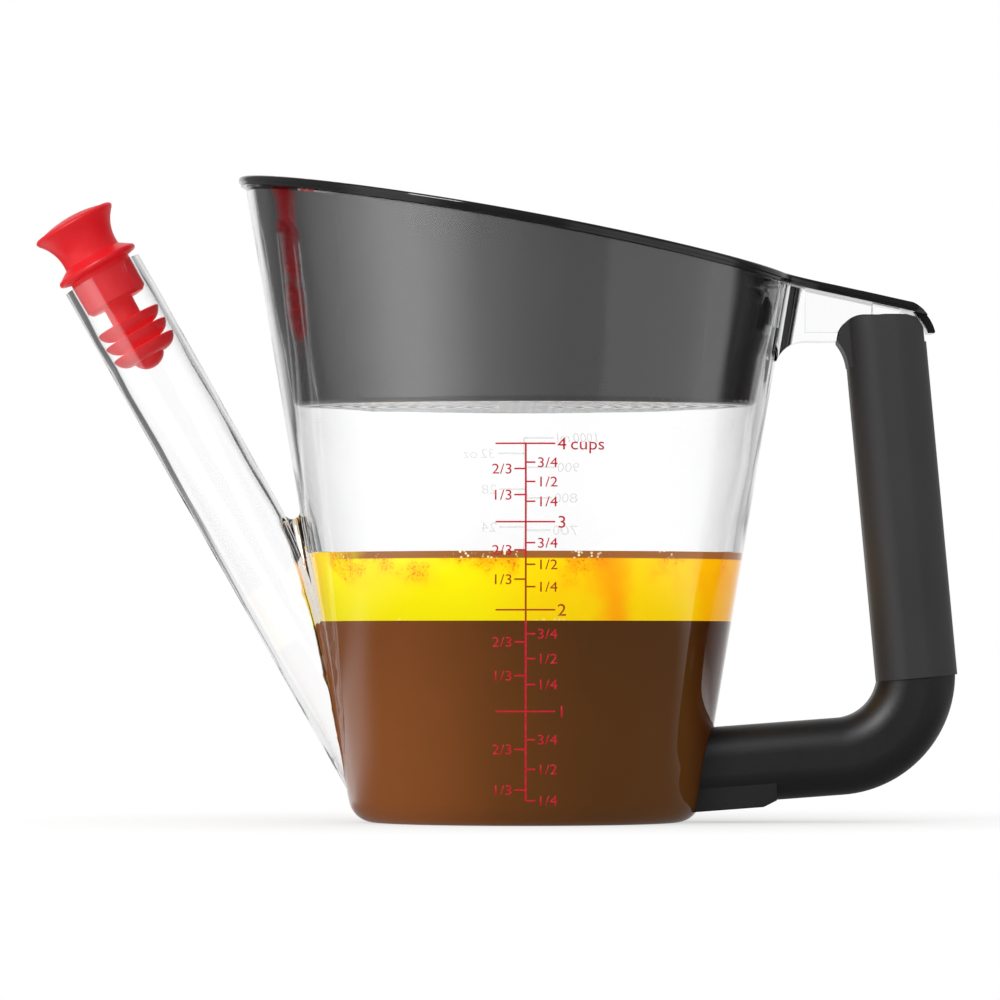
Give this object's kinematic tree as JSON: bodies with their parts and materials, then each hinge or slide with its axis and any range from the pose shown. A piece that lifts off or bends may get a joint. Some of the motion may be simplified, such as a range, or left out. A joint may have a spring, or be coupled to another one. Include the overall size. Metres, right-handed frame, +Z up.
{
  "type": "gravy fat separator",
  "caption": "Clear tapered measuring cup with a pouring spout from its foot, a lift-off strainer with thumb tab, a soft spout stopper and a soft-grip handle.",
  "frame": {"origin": "middle of the cup's flat foot, on the table", "axes": "+Z up along the cup's axis, +X towards the handle, the spout at -X; the XZ plane is the plane of symmetry"},
  "size_m": [0.246, 0.1484, 0.1723],
  "materials": {
    "clear_plastic": "clear, polished",
    "black_plastic": "satin black",
    "red_silicone": "smooth satin",
    "frame_plastic": "plain",
    "soft_grip": "soft matt",
    "arm_plastic": "fine-grained satin black",
    "screw_steel": "zinc plated"
  },
  "bodies": {
    "vessel": {"cup": "clear_plastic", "handle_frame": "frame_plastic", "handle_grip": "soft_grip", "arm_shell": "arm_plastic", "arm_cover": "arm_plastic", "arm_screws": "screw_steel", "post_screw": "screw_steel"},
    "strainer_unit": {"strainer": "black_plastic"},
    "stopper_unit": {"stopper": "red_silicone"}
  },
  "joints": [
    {"name": "strainer_lift", "type": "slide", "parent": "vessel", "child": "strainer_unit", "axis": [0, 0, 1], "range_m": [0, 0.07]},
    {"name": "stopper_pull", "type": "slide", "parent": "vessel", "child": "stopper_unit", "axis": [-0.4924, 0, 0.8704], "range_m": [0, 0.045]}
  ]
}
